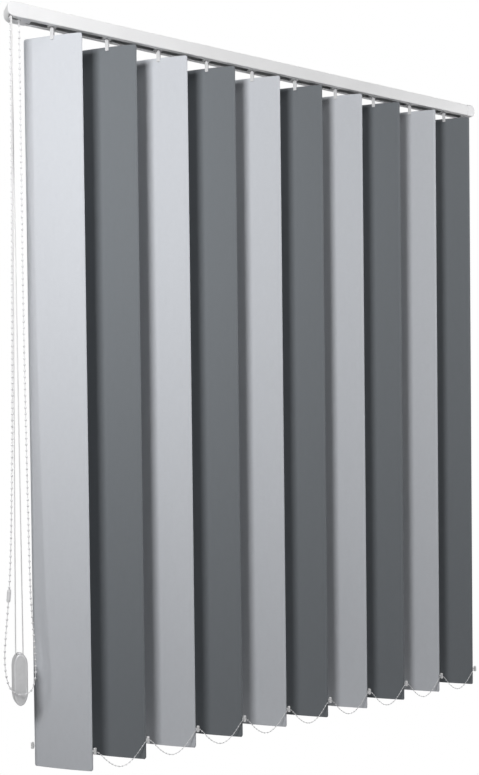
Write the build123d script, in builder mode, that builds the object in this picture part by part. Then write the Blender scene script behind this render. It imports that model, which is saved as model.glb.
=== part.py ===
from build123d import *
from math import atan2, cos, degrees, hypot, pi, radians, sin, sqrt, tan
import os

# A vertical blind with ten 127 mm vanes on an extruded headrail, tilted by a bead chain and drawn by a
# cord. Millimetres, +Z up, the rail along X, the room on the -Y side. The origin is the middle of the
# ceiling clips' seating plane.

# Vanes and their spacing
vane_count = 10
vane_width = 127.0
vane_spacing = 115.0
vane_length = 1474.0
vane_sheet = 0.6
vane_bow = 2.0
vane_corner = 4.5
vane_tilt = 43.0
hem_height = 20.0
pocket_height = 46.0
stitch_width = 0.8
stitch_depth = 0.12
pocket_gap = 2.0

# Headrail and its clips
rail_height = 27.5
rail_depth = 34.0
rail_wall = 1.2
rail_slot = 15.0
clip_rise = 3.0
clip_spacing = 840.0
clip_sheet = 1.0
lip_width = 3.5
groove_height = 1.6
rail_overhang = 91.5
control_cap_length = 40.0
idle_cap_length = 24.0
cap_wall = 1.6
cap_proud = 0.6
cap_round = 11.0

# Running gear
running_clearance = 0.05
soft_clearance = 0.3
stack_pitch = 21.0
carrier_length = 18.0
carrier_front = 11.6
carrier_rear = 13.6
wheel_radius = 3.5
wheel_width = 3.2
hook_drop = 15.2
shaft_radius = 3.0
gear_teeth = 12
gear_tip = 4.6
gear_root = 3.7
rod_radius = 2.5
worm_radius = 3.9
link_thickness = 0.45
link_levels = 7
link_pitch = 0.72
link_width = 8.0

# Controls
chain_pitch = 12.0
bead_diameter = 4.5
bevel_teeth = 12
bevel_radius = 6.2
bevel_inner = 3.8
cord_diameter = 2.2
cord_wheel_radius = 8.0
pendant_width = 28.0
pendant_depth = 20.0
pendant_height = 102.0
pendant_top_rise = 24.0
pendant_low_rise = 27.0
pendant_edge = 3.0
pendant_wheel_drop = 17.0
pendant_wheel_radius = 7.15
axle_radius = 1.5

# Bottom weights and chains
ballast_sheet = 1.4
peg_reach = 5.6
peg_above_hem = 41.5
clip_radius = 3.2
clip_height = 13.0
clip_rim = 1.2
clip_eye_clearance = 0.95
bottom_chain_diameter = 2.6
bottom_chain_sag = 47.0

# Levels worked out from the sizes above
rail_top = -clip_rise
rail_bottom = rail_top - rail_height
floor_top = rail_bottom + rail_wall
roof_bottom = rail_top - rail_wall - groove_height - rail_wall
vane_top = rail_bottom - hook_drop
vane_bottom = vane_top - vane_length
rod_z = (roof_bottom + floor_top) / 2 + 0.15
rod_y = gear_tip + soft_clearance + worm_radius
gear_half = 3.0
gear_floor = rod_z - gear_half
cord_z = rod_z + cord_wheel_radius
first_pivot = -vane_spacing * (vane_count - 1) / 2
last_pivot = -first_pivot
end_x = last_pivot + rail_overhang
rail_start = -end_x + control_cap_length
rail_end = end_x - idle_cap_length
pivots = [first_pivot + vane_spacing * k for k in range(vane_count)]
bow_radius = (vane_width / 2) ** 2 / (2 * vane_bow) + vane_bow / 2

chain_radius = chain_pitch / 2 / sin(pi / 4)
control_x = -end_x + cap_wall + chain_radius + bead_diameter / 2 + 3.7
sprocket_y = -4.0
front_wheel_y = -13.2
rear_wheel_y = -9.7
return_run_y = -2.9
return_wheel_radius = (return_run_y - front_wheel_y) / 2
return_x = end_x - cap_wall - return_wheel_radius - cord_diameter - 1.5

pendant_x = control_x - cord_wheel_radius - 4.0
pendant_y = (front_wheel_y + rear_wheel_y) / 2
pendant_top = -1267.0
pendant_bottom = pendant_top - pendant_height
pendant_wheel_z = pendant_top - pendant_wheel_drop


def keep(block, name):
    block.part.label = name
    export_step(block.part, "parts/" + name + ".step")
    return block


def away(a, b):
    return tuple(q - p for p, q in zip(a, b))


def run_length(a, b):
    return sqrt(sum(d * d for d in away(a, b)))


def bent_route(points):
    """Straight runs between the points, joined by tangent arcs, and a printed list of the arcs' radii."""
    radii = []
    here = points[0]
    for before, corner, after in zip(points, points[1:], points[2:]):
        first = run_length(before, corner)
        second = run_length(corner, after)
        along = tuple(d / first for d in away(before, corner))
        leave = tuple(d / second for d in away(corner, after))
        turn = 2 * atan2(run_length(along, leave) / 2, sqrt(max(0, 1 - (run_length(along, leave) / 2) ** 2)))
        reach = 0.45 * min(first, second)
        start = tuple(c - reach * d for c, d in zip(corner, along))
        finish = tuple(c + reach * d for c, d in zip(corner, leave))
        Line(here, start)
        TangentArc(start, finish, tangent=along)
        radii.append(round(reach / tan(turn / 2), 1))
        here = finish
    Line(here, points[-1])
    return radii


def tube(path, start, heading, diameter, name, radii):
    """A plain round tube swept along a finished path, with its volume printed against section times length."""
    with BuildPart() as swept:
        with BuildSketch(Plane(origin=start, z_dir=heading)):
            Circle(diameter / 2)
        sweep(path=path)
    share = swept.part.volume / (pi * diameter ** 2 / 4 * path.length)
    print(name, "radii", min(radii), "to", max(radii), "length", round(path.length), "volume share", round(share, 4))
    return swept


def bowed_band(inner, outer, width, height, floor):
    """A band that follows the vanes' bow, between two offsets from its middle surface."""
    half = degrees(width / 2 / bow_radius)
    centre = (0, bow_radius)
    near = bow_radius - inner
    far = bow_radius - outer
    with BuildPart() as band:
        with BuildSketch(Plane.XY.offset(floor)):
            with BuildLine():
                low = CenterArc(centre, near, 270 - half, 2 * half)
                high = CenterArc(centre, far, 270 - half, 2 * half)
                Line(low @ 0, high @ 0)
                Line(low @ 1, high @ 1)
            make_face()
        extrude(amount=height)
    return band


os.makedirs("parts", exist_ok=True)

# Headrail: one extrusion with a slot below and an open clip groove on top
with BuildPart() as headrail:
    with BuildSketch(Plane.YZ.offset(rail_start)) as section:
        with Locations((0, (rail_top + rail_bottom) / 2)):
            outline = Rectangle(rail_depth, rail_height)
        fillet(outline.vertices(), 1.8)
        with Locations((0, (roof_bottom + floor_top) / 2)):
            Rectangle(rail_depth - 2 * rail_wall, roof_bottom - floor_top, mode=Mode.SUBTRACT)
        with Locations((0, rail_bottom)):
            Rectangle(rail_slot, 2 * rail_wall, mode=Mode.SUBTRACT)
        with Locations((0, rail_top - rail_wall - groove_height / 2)):
            Rectangle(rail_depth - 2 * rail_wall, groove_height, mode=Mode.SUBTRACT)
        with Locations((0, rail_top)):
            Rectangle(rail_depth - 2 * rail_wall - 2 * lip_width, 2 * rail_wall, mode=Mode.SUBTRACT)
    extrude(amount=rail_end - rail_start)
keep(headrail, "headrail")

# Ceiling clips: hat-shaped spring strips whose feet sit in the rail's groove
wing_half = rail_depth / 2 - rail_wall - 0.4
hump_half = 9.0
wing_top = rail_top - rail_wall
with BuildPart() as mounting_clips:
    for side in (-1, 1):
        with BuildSketch(Plane.YZ.offset(side * clip_spacing / 2 - 11)):
            with Locations((0, wing_top - clip_sheet / 2)):
                Rectangle(2 * wing_half, clip_sheet)
            with Locations((0, -clip_sheet / 2)):
                Rectangle(2 * hump_half, clip_sheet)
            for turn in (-1, 1):
                with Locations((turn * (hump_half - clip_sheet / 2), wing_top / 2)):
                    Rectangle(clip_sheet, -wing_top)
            with Locations((0, wing_top)):
                Rectangle(2 * (hump_half - clip_sheet), 3 * clip_sheet, mode=Mode.SUBTRACT)
        extrude(amount=22)
    with Locations((-clip_spacing / 2, 0, 0), (clip_spacing / 2, 0, 0)):
        Hole(2.2, depth=2 * clip_rise)
keep(mounting_clips, "mounting_clips")


def cap_shell(side, length):
    """A moulded end cap with rounded outer corners, open to the rail and with a collar that plugs into it."""
    depth = rail_depth + 2 * cap_proud
    low = rail_bottom - cap_proud
    high = rail_top + cap_proud
    inner = side * (end_x - length)
    with BuildPart() as shell:
        with BuildSketch(Plane.XZ.offset(-depth / 2)):
            with Locations(((inner + side * end_x) / 2, (low + high) / 2)):
                face = Rectangle(length, high - low)
            fillet(face.vertices().group_by(Axis.X)[-1 if side > 0 else 0], cap_round)
        extrude(amount=depth)
        rim = shell.faces().filter_by(Axis.Y).edges().filter_by(lambda e: e.center().X * side > side * inner + 1)
        fillet(rim, 1.4)
        offset(amount=-cap_wall, openings=shell.faces().sort_by(Axis.X)[0 if side > 0 else -1])
        # The collar fits inside the rail's channel
        with BuildSketch(Plane.YZ.offset(inner - side * 8)):
            with Locations((0, (roof_bottom + floor_top) / 2)):
                Rectangle(rail_depth - 2 * rail_wall - 0.2, roof_bottom - floor_top - 0.2)
                Rectangle(rail_depth - 2 * rail_wall - 2.2, roof_bottom - floor_top - 2.2, mode=Mode.SUBTRACT)
        extrude(amount=side * 10)
        # A web ties the collar to the shell
        with BuildSketch(Plane.YZ.offset(inner)):
            with Locations((0, (low + high) / 2)):
                Rectangle(depth - 2, high - low - 2)
            with Locations((0, (roof_bottom + floor_top) / 2)):
                Rectangle(rail_depth - 2 * rail_wall - 2.2, roof_bottom - floor_top - 2.2, mode=Mode.SUBTRACT)
        extrude(amount=side * 1.6)
    return shell


# Control end cap: bearings for the rod and the wheels' axle, and holes for chain and cord underneath
boss_radius = axle_radius + 2.2
cap_inner_front = -(rail_depth / 2 + cap_proud - cap_wall)
control = cap_shell(-1, control_cap_length)
with BuildPart() as control_cap:
    add(control.part)
    # Boss that carries the axle, on the front wall
    with BuildSketch(Plane.XZ.offset(-cap_inner_front)):
        with Locations((control_x, rod_z)):
            Circle(boss_radius)
    extrude(amount=-0.4)
    with BuildSketch(Plane.XZ.offset(-cap_inner_front + 0.8)):
        with Locations((control_x, rod_z)):
            Circle(axle_radius)
    extrude(amount=-3, mode=Mode.SUBTRACT)
    # Web with the rod's bearing, beside the bevel wheel
    with BuildSketch(Plane.YZ.offset(control_x + bevel_radius + 5)):
        with Locations((rod_y, rod_z)):
            Rectangle(2 * (rail_depth / 2 + cap_proud - cap_wall - rod_y) + 0.4, rail_height - 2 * cap_wall + 1)
    extrude(amount=2.4)
    with BuildSketch(Plane.YZ.offset(control_x)):
        with Locations((rod_y, rod_z)):
            Circle(rod_radius + running_clearance)
    extrude(amount=2 * bevel_radius + 20, mode=Mode.SUBTRACT)
    # Holes in the underside
    with BuildSketch(Plane.XY.offset(rail_bottom - 2)):
        with Locations((control_x, sprocket_y)):
            SlotOverall(2 * chain_radius + bead_diameter + 3, bead_diameter + 2)
        with Locations((control_x - cord_wheel_radius - 1, (front_wheel_y + rear_wheel_y) / 2)):
            Rectangle(cord_diameter + 5, rear_wheel_y - front_wheel_y + cord_diameter + 1.2)
    extrude(amount=2 + cap_wall + 3, mode=Mode.SUBTRACT)
keep(control_cap, "control_end_cap")

# Idle end cap: a bearing for the rod and an upright pin for the cord's return wheel
idle = cap_shell(1, idle_cap_length)
return_y = (front_wheel_y + return_run_y) / 2
cap_floor = rail_bottom - cap_proud + cap_wall
cap_roof = rail_top + cap_proud - cap_wall
with BuildPart() as idle_cap:
    add(idle.part)
    with BuildSketch(Plane.XY.offset(cap_floor - 0.2)):
        with Locations((return_x, return_y)):
            Circle(axle_radius + 1.6)
    extrude(amount=cord_z - 2.2 - cap_floor + 0.2)
    with BuildSketch(Plane.XY.offset(cap_floor + 4)):
        with Locations((return_x, return_y)):
            Circle(axle_radius)
    extrude(amount=cord_z - cap_floor - 4, mode=Mode.SUBTRACT)
    with BuildSketch(Plane.YZ.offset(end_x - cap_wall - 5)):
        with Locations((rod_y, rod_z)):
            Circle(rod_radius + 1.8)
    extrude(amount=5.2)
    with BuildSketch(Plane.YZ.offset(end_x - cap_wall - 6)):
        with Locations((rod_y, rod_z)):
            Circle(rod_radius + running_clearance)
    extrude(amount=5.5, mode=Mode.SUBTRACT)
keep(idle_cap, "idle_end_cap")

# Tilt rod: three drive grooves, with round journals where the caps carry it
rod_start = control_x + bevel_inner - 1.2
rod_finish = end_x - cap_wall - 0.8
groove_start = control_x + bevel_radius + 9
groove_finish = rod_finish - 7
with BuildPart() as tilt_rod:
    with BuildSketch(Plane.YZ.offset(rod_start)):
        with Locations((rod_y, rod_z)):
            Circle(rod_radius)
    extrude(amount=rod_finish - rod_start)
    with BuildSketch(Plane.YZ.offset(groove_start)):
        with Locations((rod_y, rod_z)):
            with PolarLocations(rod_radius, 3):
                Rectangle(1.2, 1.0)
    extrude(amount=groove_finish - groove_start, mode=Mode.SUBTRACT)
keep(tilt_rod, "tilt_rod")


def bevel_wheel(at, phase, bore):
    """A mitre wheel on a plane through the shafts' crossing, its teeth scaled towards that point."""
    pitch = 2 * pi / bevel_teeth
    with BuildPart() as wheel:
        for distance in (bevel_radius, bevel_inner):
            size = distance / bevel_radius
            points = []
            for tooth in range(bevel_teeth):
                for part_of_pitch, radius in ((-0.30, -0.85), (-0.12, 0.55), (0.12, 0.55), (0.30, -0.85)):
                    angle = phase + pitch * (tooth + part_of_pitch)
                    reach = size * (bevel_radius + radius)
                    points.append((reach * cos(angle), reach * sin(angle)))
            with BuildSketch(at.offset(distance)):
                Polygon(*points, align=None)
        loft(ruled=True)
        if bore:
            with BuildSketch(at):
                Circle(bore)
            extrude(amount=2 * bevel_radius, mode=Mode.SUBTRACT)
    return wheel


# Bevel wheel pressed on the rod, its teeth towards the control end
rod_bevel_wheel = bevel_wheel(Plane(origin=(control_x, rod_y, rod_z), x_dir=(0, -1, 0), z_dir=(1, 0, 0)), 0, 0)
with BuildPart() as rod_bevel:
    add(rod_bevel_wheel.part)
    with BuildSketch(Plane.YZ.offset(control_x + bevel_radius)):
        with Locations((rod_y, rod_z)):
            Circle(bevel_radius - 1)
    extrude(amount=4)
    with BuildSketch(Plane.YZ.offset(control_x)):
        with Locations((rod_y, rod_z)):
            Circle(rod_radius)
    extrude(amount=2 * bevel_radius + 6, mode=Mode.SUBTRACT)
keep(rod_bevel, "rod_bevel_wheel")

# Chain sprocket: a grooved wheel with a seat for each of four beads, and the mating bevel wheel on its hub
sprocket_half = 3.2
sprocket_bevel = bevel_wheel(Plane(origin=(control_x, rod_y, rod_z), x_dir=(1, 0, 0), z_dir=(0, -1, 0)), pi / bevel_teeth, 0)
with BuildPart() as chain_sprocket:
    with BuildSketch(Plane.XZ.offset(-(sprocket_y + sprocket_half))):
        with Locations((control_x, rod_z)):
            Circle(chain_radius + 1.1)
            with PolarLocations(chain_radius, 4):
                Circle(bead_diameter / 2 + 0.6, mode=Mode.SUBTRACT)
    extrude(amount=2 * sprocket_half)
    with BuildSketch(Plane(origin=(control_x, sprocket_y, rod_z), x_dir=(1, 0, 0), z_dir=(0, 0, 1))):
        with Locations((chain_radius, 0)):
            Circle(bead_diameter / 2 + 0.35)
    revolve(axis=Axis((control_x, sprocket_y, rod_z), (0, 1, 0)), mode=Mode.SUBTRACT)
    with BuildSketch(Plane.XZ.offset(-(sprocket_y + sprocket_half))):
        with Locations((control_x, rod_z)):
            Circle(bevel_radius - 1)
    extrude(amount=-(rod_y - bevel_radius - sprocket_y - sprocket_half))
    add(sprocket_bevel.part)
    with BuildSketch(Plane.XZ.offset(-rod_y)):
        with Locations((control_x, rod_z)):
            Circle(axle_radius + running_clearance)
    extrude(amount=4 * bevel_radius, mode=Mode.SUBTRACT)
keep(chain_sprocket, "chain_sprocket")

# Axle of the sprocket and the two cord wheels, pressed into the cap's front wall
with BuildPart() as control_axle:
    with BuildSketch(Plane.XZ.offset(-cap_inner_front + 0.8)):
        with Locations((control_x, rod_z)):
            Circle(axle_radius)
    extrude(amount=-(rod_y - bevel_inner - cap_inner_front + 0.8 + 0.5))
    with BuildSketch(Plane.XZ.offset(-(rod_y - bevel_inner + 0.5))):
        with Locations((control_x, rod_z)):
            Circle(axle_radius + 0.7)
    extrude(amount=-0.7)
keep(control_axle, "control_axle")


def grooved_wheel(axis, cord_radius, width, bore):
    """A cord wheel: a disc with a round groove for the cord, turned about its axis."""
    rim = cord_radius + 0.6
    across = Plane(origin=axis.position, x_dir=(1, 0, 0), z_dir=(0, 0, 1))
    if abs(axis.direction.Z) > 0.5:
        across = Plane(origin=axis.position, x_dir=(1, 0, 0), z_dir=(0, -1, 0))
    with BuildPart() as wheel:
        with BuildSketch(across):
            with Locations(((rim + bore) / 2, 0)):
                Rectangle(rim - bore, width)
            with Locations((cord_radius, 0)):
                Circle(cord_diameter / 2 + 0.1, mode=Mode.SUBTRACT)
            with Locations((cord_radius + 1, 0)):
                Rectangle(2, cord_diameter + 0.2, mode=Mode.SUBTRACT)
        revolve(axis=axis)
    return wheel


bore = axle_radius + running_clearance
keep(grooved_wheel(Axis((control_x, front_wheel_y, rod_z), (0, 1, 0)), cord_wheel_radius, 3.0, bore), "front_cord_wheel")
keep(grooved_wheel(Axis((control_x, rear_wheel_y, rod_z), (0, 1, 0)), cord_wheel_radius, 3.0, bore), "rear_cord_wheel")
keep(grooved_wheel(Axis((return_x, return_y, cord_z), (0, 0, 1)), return_wheel_radius, 3.0, bore), "return_wheel")
with BuildPart() as return_axle:
    with BuildSketch(Plane.XY.offset(cap_floor + 4)):
        with Locations((return_x, return_y)):
            Circle(axle_radius)
    extrude(amount=cap_roof - cap_floor - 4 - 0.3)
keep(return_axle, "return_axle")

# Carriers: each is one moulding here, with its wheels, its worm sleeve and the link that spaces the next one
window_low = rod_z + worm_radius + 0.5
window_high = window_low + soft_clearance + link_levels * link_pitch
window_y = 8.0
window_half = link_width / 2 + 0.5
carrier_top = window_high + 0.9
carrier_low = floor_top + 0.5
wheel_outer = rail_depth / 2 - rail_wall - 2.6
wheel_inner = wheel_outer - wheel_width


def carrier(k):
    x = pivots[k]
    half = carrier_length / 2
    with BuildPart() as body:
        with BuildSketch(Plane.YZ.offset(x - half)):
            with Locations((0, (carrier_low + gear_floor) / 2)):
                Rectangle(2 * wheel_inner - 0.8, gear_floor - carrier_low)
            with Locations(((carrier_rear - carrier_front) / 2, (gear_floor - 0.4 + carrier_top) / 2)):
                Rectangle(carrier_front + carrier_rear, carrier_top - gear_floor + 0.4)
        extrude(amount=carrier_length)
        # Two running wheels on each side, on stub axles
        for side in (-1, 1):
            with BuildSketch(Plane.XZ.offset(-side * (wheel_inner - 0.6))):
                with Locations((x - half / 2, floor_top + wheel_radius), (x + half / 2, floor_top + wheel_radius)):
                    Circle(axle_radius)
            extrude(amount=-side * (wheel_width + 0.6))
            with BuildSketch(Plane.XZ.offset(-side * wheel_inner)):
                with Locations((x - half / 2, floor_top + wheel_radius), (x + half / 2, floor_top + wheel_radius)):
                    Circle(wheel_radius)
            extrude(amount=-side * wheel_width)
        # Seat of the hook's gear, open on top, and the bore for its shaft
        with BuildSketch(Plane.XY.offset(gear_floor)):
            with Locations((x, 0)):
                Circle(gear_tip + soft_clearance)
        extrude(amount=carrier_top - gear_floor, mode=Mode.SUBTRACT)
        with BuildSketch(Plane.XY.offset(carrier_low)):
            with Locations((x, 0)):
                Circle(shaft_radius + running_clearance)
        extrude(amount=gear_floor - carrier_low, mode=Mode.SUBTRACT)
        # Chamber round the worm sleeve
        with BuildSketch(Plane.YZ.offset(x - half + 3)):
            with Locations((rod_y, rod_z)):
                Circle(worm_radius + 0.5)
                Circle(worm_radius, mode=Mode.SUBTRACT)
        extrude(amount=carrier_length - 6, mode=Mode.SUBTRACT)
        # Window for the links, bore for the rod, and passage for the cord's return run
        with BuildSketch(Plane.YZ.offset(x - half)):
            with Locations((window_y, (window_low + window_high) / 2)):
                Rectangle(2 * window_half, window_high - window_low)
            with Locations((rod_y, rod_z)):
                Circle(rod_radius + 0.15)
            with Locations((return_run_y, cord_z)):
                Circle(cord_diameter / 2 + 0.5)
        extrude(amount=carrier_length, mode=Mode.SUBTRACT)
        if k < vane_count - 1:
            level = window_low + soft_clearance + link_pitch * (k % link_levels)
            with BuildSketch(Plane.XY.offset(level)):
                with Locations((x, window_y)):
                    Rectangle(carrier_length, 2 * window_half + 1)
                with Locations((x + (vane_spacing + carrier_length) / 2, window_y)):
                    Rectangle(vane_spacing + 4, link_width)
            extrude(amount=link_thickness)
        else:
            # The lead carrier's lug takes hold of the cord
            lug_face = -(rail_depth / 2 - rail_wall - 0.4)
            with BuildSketch(Plane.YZ.offset(x - half / 2)):
                with Locations(((lug_face - carrier_front + 1) / 2, cord_z)):
                    Rectangle(1 - carrier_front - lug_face, 4.0)
                with Locations((front_wheel_y, cord_z)):
                    Circle(cord_diameter / 2 + soft_clearance, mode=Mode.SUBTRACT)
            extrude(amount=half)
            with BuildSketch(Plane.YZ.offset(x - half)):
                with Locations((front_wheel_y, cord_z)):
                    Circle(cord_diameter / 2 + soft_clearance)
            extrude(amount=carrier_length, mode=Mode.SUBTRACT)
    return body


def turned(k):
    """The plane of vane k, its local X across the vane towards the room and its local Y behind it."""
    angle = radians(vane_tilt)
    return Plane(origin=(pivots[k], 0, 0), x_dir=(cos(angle), -sin(angle), 0), z_dir=(0, 0, 1))


for k in range(vane_count):
    keep(carrier(k), f"carrier_{k + 1:02d}")

# Hook: gear, shaft, and a fork whose pin carries the vane
pin_radius = 1.6
pin_z = vane_top - 5.0
hem_rear = 1.5 * vane_sheet
with BuildPart() as hook_form:
    with BuildSketch(Plane.XY.offset(gear_floor)):
        Circle(gear_root)
        with PolarLocations(gear_root, gear_teeth):
            Rectangle(2 * (gear_tip - gear_root), 0.85)
    extrude(amount=2 * gear_half)
    with BuildSketch(Plane.XY.offset(rail_bottom - 1.5)):
        Circle(shaft_radius)
    extrude(amount=gear_floor - rail_bottom + 1.5)
    with BuildSketch(Plane.XZ.offset(-hem_rear - 1.7)):
        with Locations((0, (rail_bottom - 1 + pin_z - 2.6) / 2)):
            blade = Rectangle(7.5, rail_bottom - 1 - pin_z + 2.6)
        fillet(blade.vertices(), 1.4)
    extrude(amount=hem_rear + vane_sheet / 2 + 3.4)
    with BuildSketch(Plane.YZ.offset(-6)):
        with Locations(((hem_rear - vane_sheet / 2) / 2, (vane_top + 1 + pin_z - 3.6) / 2)):
            Rectangle(hem_rear + vane_sheet / 2 + 0.6, vane_top + 1 - pin_z + 3.6)
    extrude(amount=12, mode=Mode.SUBTRACT)
    with BuildSketch(Plane.XZ.offset(-hem_rear - 0.8)):
        with Locations((0, pin_z)):
            Circle(pin_radius)
    extrude(amount=hem_rear + vane_sheet / 2 + 1.6)

# Vane: a bowed sheet with a hem at the top, a pocket for the weight at the bottom and rounded corners
hole_radius = pin_radius + 0.3
sheet_front = -vane_sheet / 2
sheet_rear = vane_sheet / 2
pocket_rear = sheet_rear + pocket_gap
# The bands are wider than the vane, and the rounded outline trims them to its width
spare = vane_width + 4
sheet = bowed_band(sheet_front, sheet_rear, spare, vane_length, vane_bottom)
hem = bowed_band(sheet_front, sheet_rear + vane_sheet, spare, hem_height, vane_top - hem_height)
pocket = bowed_band(sheet_front, pocket_rear + vane_sheet, spare, pocket_height, vane_bottom)
hollow = bowed_band(sheet_rear, pocket_rear, spare + 4, pocket_height - 2.6, vane_bottom + vane_sheet)
with BuildPart() as vane_form:
    add(sheet.part)
    add(hem.part)
    add(pocket.part)
    add(hollow.part, mode=Mode.SUBTRACT)
    with BuildSketch(Plane.XZ.offset(-20)):
        with Locations((0, (vane_top + vane_bottom) / 2)):
            RectangleRounded(2 * bow_radius * sin(vane_width / 2 / bow_radius), vane_length, vane_corner)
    extrude(amount=40, mode=Mode.INTERSECT)
    # Stitch lines pressed into the front, along the hem's foot and the pocket's top
    for line in (vane_top - hem_height, vane_bottom + pocket_height - stitch_width):
        stitch = bowed_band(sheet_front - 1, sheet_front + stitch_depth, spare, stitch_width, line)
        add(stitch.part, mode=Mode.SUBTRACT)
    with BuildSketch(Plane.XZ.offset(-4)):
        with Locations((0, pin_z + pin_radius - hole_radius)):
            Circle(hole_radius)
    extrude(amount=8, mode=Mode.SUBTRACT)

# Bottom weight: a plate in the pocket whose arms carry a round clip beyond each edge
plate_front = sheet_rear + (pocket_gap - ballast_sheet) / 2
plate_rear = plate_front + ballast_sheet
clip_z = vane_bottom + peg_above_hem
plate = bowed_band(plate_front, plate_rear, vane_width - 8, peg_above_hem + 1.4 - vane_sheet, vane_bottom + vane_sheet)
arms = bowed_band(plate_front, plate_rear, vane_width + 2 * peg_reach, 3.0, clip_z - 1.6)
clip_angle = (vane_width / 2 + peg_reach) / bow_radius
clip_u = (bow_radius - (plate_front + plate_rear) / 2) * sin(clip_angle)
clip_v = bow_radius * (1 - cos(clip_angle))
with BuildPart() as ballast_form:
    add(plate.part)
    add(arms.part)
    with BuildSketch(Plane.XY.offset(clip_z - clip_height / 2)):
        with Locations((-clip_u, clip_v), (clip_u, clip_v)):
            Circle(clip_radius)
    extrude(amount=clip_height)
    rims = ballast_form.edges().filter_by(GeomType.CIRCLE).filter_by(lambda edge: edge.radius < 2 * clip_radius)
    fillet(rims.group_by(Axis.Z)[0] + rims.group_by(Axis.Z)[-1], clip_rim)
    # The chain passes along the rail's direction, whatever the vane's tilt at rest
    for side in (-1, 1):
        with BuildSketch(Plane(origin=(side * clip_u, clip_v, clip_z), z_dir=(cos(radians(vane_tilt)), sin(radians(vane_tilt)), 0))):
            Circle(bottom_chain_diameter / 2 + clip_eye_clearance)
        extrude(amount=clip_radius + 1, both=True, mode=Mode.SUBTRACT)

for k in range(vane_count):
    for form, name in ((hook_form, "hook"), (vane_form, "vane"), (ballast_form, "bottom_weight")):
        with BuildPart() as copy:
            with Locations(turned(k)):
                add(form.part)
        keep(copy, f"{name}_{k + 1:02d}")

# Bottom chains: one through all the clips on each side, sagging between them
angle = radians(vane_tilt)
for side, name in ((1, "front_chain"), (-1, "rear_chain")):
    across = side * clip_u * cos(angle) + clip_v * sin(angle)
    behind = -side * clip_u * sin(angle) + clip_v * cos(angle)
    points = [(pivots[0] + across - clip_radius + 0.5, behind, clip_z)]
    for k in range(vane_count - 1):
        left = pivots[k] + across + clip_radius + 1.5
        right = pivots[k + 1] + across - clip_radius - 1.5
        for share, drop in ((0, 0), (0.25, 0.71), (0.5, 1), (0.75, 0.71), (1, 0)):
            points.append((left + share * (right - left), behind, clip_z - drop * (bottom_chain_sag - 1)))
    points.append((pivots[-1] + across + clip_radius - 0.5, behind, clip_z))
    with BuildLine() as path:
        radii = bent_route(points)
    keep(tube(path.wire(), points[0], (1, 0, 0), bottom_chain_diameter, name, radii), name)

# Bead chain as a plain tube: from its connector down and round, up the right side and over the sprocket
left_x = control_x - chain_radius
right_x = control_x + chain_radius
connector = (left_x - 23, -15.0, -1152.0)
falling = [
    (left_x, sprocket_y, rod_z),
    (left_x - 2, sprocket_y, -382.0),
    (left_x - 5.5, sprocket_y - 2, -577.0),
    (left_x - 10.6, sprocket_y - 6, -869.0),
    (left_x - 18.4, sprocket_y - 10, -1102.0),
    connector,
]
rising = [
    connector,
    (left_x - 28, -17.5, -1200.0),
    (left_x - 34, -22.0, -1250.0),
    (left_x - 35.5, -26.0, -1290.0),
    (left_x - 30, -29.0, -1324.0),
    (left_x - 16, -30.0, -1341.0),
    (left_x + 2, -30.0, -1346.0),
    (left_x + 16, -30.0, -1339.0),
    (left_x + 22.6, -30.0, -1316.0),
    (left_x + 22.8, -30.0, -1284.0),
    (left_x + 21.4, -28.0, -1241.0),
    (left_x + 18.6, -25.0, -1192.0),
    (right_x - 0.4, -22.0, -1134.0),
    (right_x - 0.6, -14.0, -929.0),
    (right_x - 1.2, -6.0, -600.0),
    (right_x, sprocket_y, -300.0),
    (right_x, sprocket_y, rod_z),
]


def part_way(a, b, distance):
    return tuple(p + distance * d / run_length(a, b) for p, d in zip(a, away(a, b)))


falling[-1] = part_way(connector, falling[-2], 1.5)
rising[0] = part_way(connector, rising[1], 1.5)
with BuildLine() as path:
    radii = bent_route(rising)
    ThreePointArc(rising[-1], (control_x, sprocket_y, rod_z + chain_radius), falling[0])
    radii += bent_route(falling)
keep(tube(path.wire(), rising[0], away(rising[0], rising[1]), bead_diameter, "bead_chain", radii), "bead_chain")

# Connector: a barrel that holds the chain's two ends
connector_half = 12.0
strand = tuple(d / run_length(falling[-2], rising[1]) for d in away(falling[-2], rising[1]))
with BuildPart() as chain_connector:
    with BuildSketch(Plane(origin=connector, x_dir=strand, z_dir=(strand[2], 0, -strand[0]))):
        with BuildLine():
            Polyline(
                (-connector_half, bead_diameter / 2 + 0.4),
                (-connector_half, bead_diameter / 2 + 0.9),
                (4 - connector_half, bead_diameter / 2 + 1.6),
                (connector_half - 4, bead_diameter / 2 + 1.6),
                (connector_half, bead_diameter / 2 + 0.9),
                (connector_half, bead_diameter / 2 + 0.4),
                close=True,
            )
        make_face()
    revolve(axis=Axis(connector, strand))
keep(chain_connector, "chain_connector")

# Draw cord: from the lead carrier to the control end, down round the weight's wheel and back round the idle end
left_strand = pendant_x - pendant_wheel_radius
right_strand = pendant_x + pendant_wheel_radius
grip_x = pivots[-1] - carrier_length / 4
cord_out = control_x - cord_wheel_radius
to_weight = [
    (cord_out, front_wheel_y, rod_z),
    (cord_out, front_wheel_y, rail_bottom - 30),
    (left_strand, pendant_y, pendant_top + 40),
    (left_strand, pendant_y, pendant_wheel_z),
]
from_weight = [
    (right_strand, pendant_y, pendant_wheel_z),
    (right_strand, pendant_y, pendant_top + 40),
    (cord_out, rear_wheel_y, rail_bottom - 30),
    (cord_out, rear_wheel_y, rod_z),
]
to_idle = [
    (control_x, rear_wheel_y, cord_z),
    (control_x + 14, rear_wheel_y, cord_z),
    (control_x + 14 + (first_pivot - carrier_length / 2 - 1 - control_x - 14) / 1.45, return_run_y, cord_z),
    (return_x, return_run_y, cord_z),
]
slant = cord_wheel_radius * sqrt(0.5)
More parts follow.
